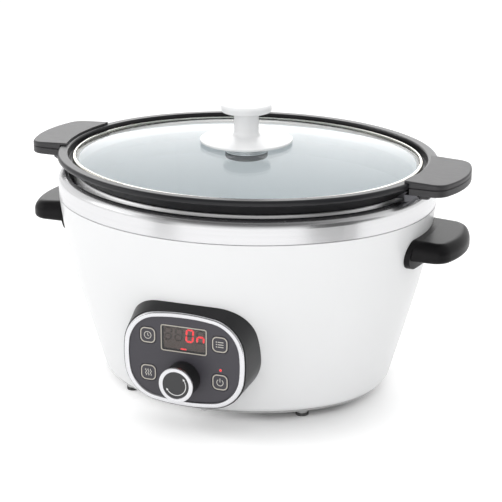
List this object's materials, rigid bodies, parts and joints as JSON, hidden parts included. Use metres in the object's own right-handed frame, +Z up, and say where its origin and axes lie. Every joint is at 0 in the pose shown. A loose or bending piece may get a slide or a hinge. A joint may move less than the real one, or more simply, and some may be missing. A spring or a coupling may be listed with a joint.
{
  "type": "slow cooker",
  "caption": "Oval countertop slow cooker with a lift-out metal pot, domed glass lid with a round knob, black side handles and a front control pod with keys, a display and a dial.",
  "frame": {"origin": "on the table plane under the middle of the oval pot", "axes": "+Z up, +X along the long axis of the oval towards the right-hand handles, -Y towards the control panel"},
  "size_m": [0.356, 0.2806, 0.2236],
  "materials": {
    "shell_paint": "gloss",
    "collar_steel": "satin",
    "liner_sheet": "satin",
    "heater_sheet": "satin",
    "blanket": "matte",
    "base_sheet": "satin",
    "fastener": "satin",
    "foot_rubber": "matte",
    "handle_black": "fine grain",
    "pod_black": "gloss",
    "ring_chrome": "polished",
    "panel_grey": "matte",
    "key_grey": "matte",
    "window_smoke": "clear",
    "board_green": "satin",
    "part_black": "matte",
    "part_blue": "matte",
    "light_red": "clear",
    "pot_aluminium": "satin with a dark coated rim",
    "rim_steel": "polished",
    "lid_glass": "clear",
    "knob_white": "gloss",
    "seal_rubber": "matte"
  },
  "bodies": {
    "housing": {"outer_shell": "shell_paint", "rim_collar": "collar_steel", "well_liner": "liner_sheet", "heater_band": "heater_sheet", "insulation_blanket": "blanket", "base_cover": "base_sheet", "base_screws": "fastener", "feet": "foot_rubber", "liner_post": "liner_sheet", "tie_bolt": "fastener", "side_handle_right": "handle_black", "side_handle_left": "handle_black", "side_handle_screws": "fastener", "control_pod": "pod_black", "pod_screws": "fastener", "panel_ring": "ring_chrome", "panel_face": "panel_grey", "display_window": "window_smoke", "display_module": "part_black", "control_board": "board_green", "key_switches": "part_black", "indicator_light": "light_red", "encoder_body": "part_black", "cord_gland": "part_black", "power_board": "board_green", "power_relay": "part_blue", "filter_capacitor": "part_black", "terminal_block": "part_black", "temperature_sensor": "heater_sheet", "thermal_fuse": "heater_sheet"},
    "pot": {"cooking_pot": "pot_aluminium", "pot_handle_upper_right": "handle_black", "pot_handle_upper_left": "handle_black", "pot_handle_lower_right": "handle_black", "pot_handle_lower_left": "handle_black", "pot_bracket_right": "rim_steel", "pot_bracket_left": "rim_steel", "pot_handle_screws": "fastener"},
    "lid": {"lid_rim": "rim_steel", "lid_glass": "lid_glass", "knob_base": "knob_white", "knob_top": "knob_white", "knob_seal": "seal_rubber", "knob_washer": "rim_steel", "knob_screw": "fastener"},
    "dial": {"dial_knob": "handle_black", "dial_ring": "ring_chrome", "dial_cap": "pod_black", "encoder_shaft": "fastener"},
    "timer_key": {"key_timer": "key_grey"},
    "mode_key": {"key_mode": "key_grey"},
    "warm_key": {"key_warm": "key_grey"},
    "power_key": {"key_power": "key_grey"}
  },
  "joints": [
    {"name": "pot_lift", "type": "slide", "parent": "housing", "child": "pot", "axis": [0, 0, 1], "range_m": [0, 0.2]},
    {"name": "lid_lift", "type": "slide", "parent": "pot", "child": "lid", "axis": [0, 0, 1], "range_m": [0, 0.1]},
    {"name": "dial_turn", "type": "hinge", "parent": "housing", "child": "dial", "pos_m": [0, -0.131, 0.0447], "axis": [0, -1, 0], "continuous": true},
    {"name": "timer_press", "type": "slide", "parent": "housing", "child": "timer_key", "axis": [0, 1, 0], "range_m": [0, 0.0008], "stiffness_N_per_m": 400, "springref_m": -0.002},
    {"name": "mode_press", "type": "slide", "parent": "housing", "child": "mode_key", "axis": [0, 1, 0], "range_m": [0, 0.0008], "stiffness_N_per_m": 400, "springref_m": -0.002},
    {"name": "warm_press", "type": "slide", "parent": "housing", "child": "warm_key", "axis": [0, 1, 0], "range_m": [0, 0.0008], "stiffness_N_per_m": 400, "springref_m": -0.002},
    {"name": "power_press", "type": "slide", "parent": "housing", "child": "power_key", "axis": [0, 1, 0], "range_m": [0, 0.0008], "stiffness_N_per_m": 400, "springref_m": -0.002}
  ]
}
